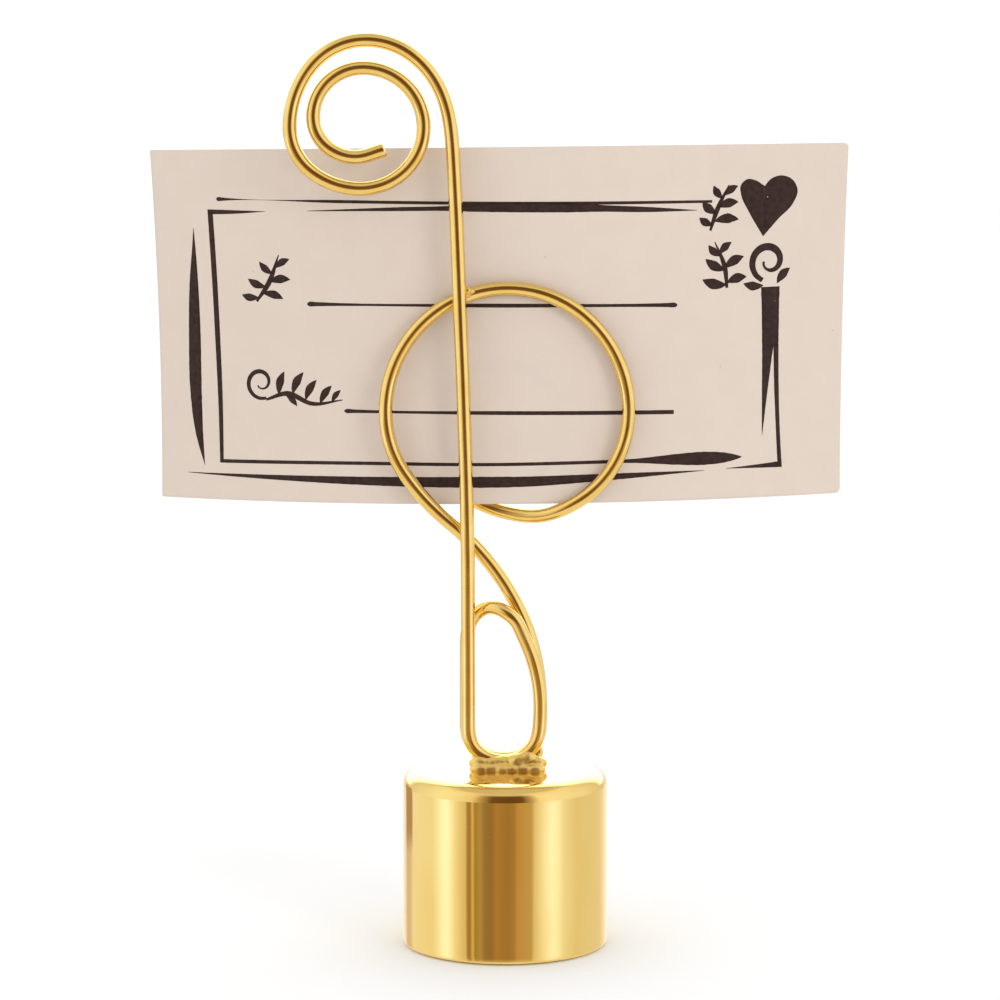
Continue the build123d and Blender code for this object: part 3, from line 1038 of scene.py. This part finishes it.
# %% The frame, drawn as loose tapering strokes
print_piece("print_frame_top", [
    [(-39.4, 37.25, 0.15), (-39.2, 37.25, 0.5), (-38.6, 37.24, 0.4), (-23.3, 36.9, 0.38), (-9.2, 36.63, 0.38),
     (7.6, 36.45, 0.38), (22.2, 36.44, 0.32)],
    [(-27.5, 35.78, 0.05), (-15.9, 35.95, 0.48), (-9.6, 36.0, 0.64), (-7.2, 36.05, 0.95), (-2.0, 36.03, 1.15),
     (5.5, 35.93, 1.1), (8.2, 35.82, 0.84), (14.5, 35.58, 0.6), (20.3, 35.4, 0.05)],
    [(-40.66, 35.68, 0.6), (-37.3, 35.66, 0.45), (-32.95, 35.72, 0.04)],
])
print_piece("print_frame_left", [
    [(-40.32, 35.97, 0.7), (-39.98, 27.0, 0.72), (-39.76, 20.0, 0.7), (-39.52, 12.0, 0.62),
     (-39.42, 4.6, 0.5)],
    [(-42.7, 33.7, 0.03), (-42.78, 30.8, 0.55), (-42.9, 27.8, 1.08), (-43.02, 20.5, 1.68),
     (-43.0, 13.0, 1.62), (-42.62, 8.3, 1.08), (-41.86, 4.2, 0.03)],
])
print_piece("print_frame_foot", [
    [(-39.66, 4.82, 0.44), (-21.0, 4.95, 0.42), (-3.7, 4.85, 0.4), (11.0, 5.02, 0.42),
     (25.8, 5.1, 0.44), (26.3, 5.1, 0.1)],
    [(-44.3, 3.24, 0.05), (-32.5, 3.0, 0.58), (-18.0, 2.75, 1.1), (-6.0, 2.68, 1.33), (-1.8, 2.7, 1.28),
     (9.8, 3.15, 0.8), (17.3, 3.45, 0.33), (21.5, 3.6, 0.04)],
])
print_piece("print_frame_right", [
    [(29.83, 25.9, 2.4), (29.9, 22.2, 2.25), (29.94, 18.6, 2.16)],
    [(29.62, 18.8, 1.5), (29.3, 13.5, 0.78), (28.98, 7.68, 0.04)],
    [(30.69, 18.8, 0.68), (30.82, 13.9, 0.6), (31.1, 8.0, 0.52), (31.38, 3.64, 0.56)],
    [(24.3, 3.74, 0.04), (28.0, 3.86, 0.38), (31.64, 4.0, 0.76)],
])
print_piece("print_rules", [
    [(-27.65, 24.43, 0.15), (-27.4, 24.43, 0.56), (-26.5, 24.42, 0.5), (-3.7, 24.2, 0.48), (16.8, 23.97, 0.5),
     (17.7, 23.96, 0.54), (17.95, 23.96, 0.2)],
    [(-23.0, 11.35, 0.15), (-22.7, 11.35, 0.5), (-22.0, 11.34, 0.46), (-3.7, 11.14, 0.47), (17.6, 10.9, 0.5)],
])


# %% The heart, filled from its middle out
def outline_film(outline, middle, rings=6):
    """A filled shape: rings shrink from the outline to its middle."""
    points, faces, rows = [], [], []
    for r in range(rings + 1):
        t = 0.02 + 0.98 * r / rings
        rows.append([(middle[0] + (u - middle[0]) * t, middle[1] + (v - middle[1]) * t) for u, v in outline])
    film([row + row[:1] for row in rows], points, faces)
    return points, faces


heart_u, heart_v = 28.75, 32.08
heart_guides = [
    (0.0, 0.0), (-1.86, 2.99), (-2.9, 5.1), (-2.98, 6.2), (-2.1, 7.0), (-1.0, 6.8), (0.1, 6.12),
    (0.1, 6.12), (0.85, 6.95), (2.2, 7.38), (3.75, 6.8), (4.4, 5.5), (3.75, 3.85), (2.05, 2.2), (0.0, 0.0),
]
left_lobe = eased([(u, v, 0) for u, v in heart_guides[:7]])
right_lobe = eased([(u, v, 0) for u, v in heart_guides[7:]])
heart_line = [(heart_u + p.x, heart_v + p.y) for p in left_lobe[:-1] + right_lobe[:-1]]
points, faces = outline_film(heart_line, (heart_u + 0.5, heart_v + 4.8))
finish_piece("print_heart", mesh_from(points, faces), ink, "card")


# %% Sprigs and scrolls in place of words
def leaf(u, v, angle, length, width):
    """Guides of a leaf that grows from (u, v)."""
    a = radians(angle)
    guides = []
    for t, w in ((0.0, 0.05), (0.3, 0.75), (0.55, 1.0), (0.8, 0.6), (1.0, 0.03)):
        along, bow = length * t, sin(pi * t) * 0.08 * length
        guides.append((u + cos(a) * along - sin(a) * bow, v + sin(a) * along + cos(a) * bow, w * width))
    return guides


def scroll(u, v, radius, start, sweep, width):
    """Guides of a curl that tightens as it turns."""
    guides = []
    for i in range(17):
        t = i / 16
        a = radians(start + sweep * t)
        r = radius * (1 - 0.72 * t)
        guides.append((u + r * cos(a), v + r * sin(a), width * (0.35 + 0.65 * sin(pi * min(1, t + 0.15)))))
    return guides


print_piece("print_sprig_upper", [
    [(22.0, 32.9, 0.3), (22.8, 35.3, 0.6), (24.3, 38.4, 0.12)],
    leaf(22.3, 33.6, 152, 1.9, 1.0), leaf(22.5, 34.0, 4, 3.1, 1.2),
    leaf(22.8, 35.0, 142, 2.3, 1.1), leaf(23.0, 35.7, 14, 2.6, 1.15),
    leaf(23.5, 36.8, 126, 1.9, 0.95), leaf(23.7, 37.1, 34, 2.1, 0.95),
])
print_piece("print_sprig_lower", [
    [(24.2, 25.9, 0.35), (23.9, 28.4, 0.6), (22.6, 31.5, 0.12)],
    leaf(24.2, 26.3, 168, 3.2, 1.3), leaf(24.2, 26.5, 16, 2.6, 1.2), leaf(24.0, 28.1, 152, 2.9, 1.2),
    leaf(23.9, 28.3, 30, 2.8, 1.2), leaf(23.3, 29.8, 138, 2.0, 0.95), leaf(23.2, 30.0, 44, 2.1, 0.95),
])
print_piece("print_curl_right", [
    scroll(29.6, 29.0, 2.45, 250, -430, 0.9),
    leaf(28.9, 26.1, 174, 2.6, 1.1), leaf(30.7, 26.3, 48, 2.5, 1.1),
])
print_piece("print_sprig_first", [
    [(-34.3, 24.7, 0.3), (-32.7, 26.9, 0.66), (-31.3, 30.4, 0.12)],
    leaf(-34.0, 25.2, 172, 2.3, 0.95), leaf(-33.5, 25.7, -14, 2.8, 1.0),
    leaf(-33.0, 26.5, 158, 2.6, 1.0), leaf(-32.6, 27.1, 6, 2.8, 1.05),
    leaf(-32.1, 28.1, 140, 2.3, 0.9), leaf(-31.8, 28.8, 30, 2.2, 0.9),
])
print_piece("print_scroll_second", [
    scroll(-33.9, 14.7, 2.05, 290, -430, 0.55),
    [(-33.2, 12.6, 0.3), (-30.4, 13.4, 0.62), (-27.2, 12.2, 0.5), (-23.2, 12.7, 0.12)],
    leaf(-31.5, 13.2, 76, 3.0, 1.05), leaf(-29.7, 13.3, 62, 3.1, 1.05), leaf(-28.0, 12.6, 60, 2.9, 1.0),
    leaf(-26.1, 12.2, 56, 2.7, 0.95), leaf(-30.6, 13.2, -42, 2.0, 0.75), leaf(-24.6, 12.4, 52, 1.9, 0.7),
])
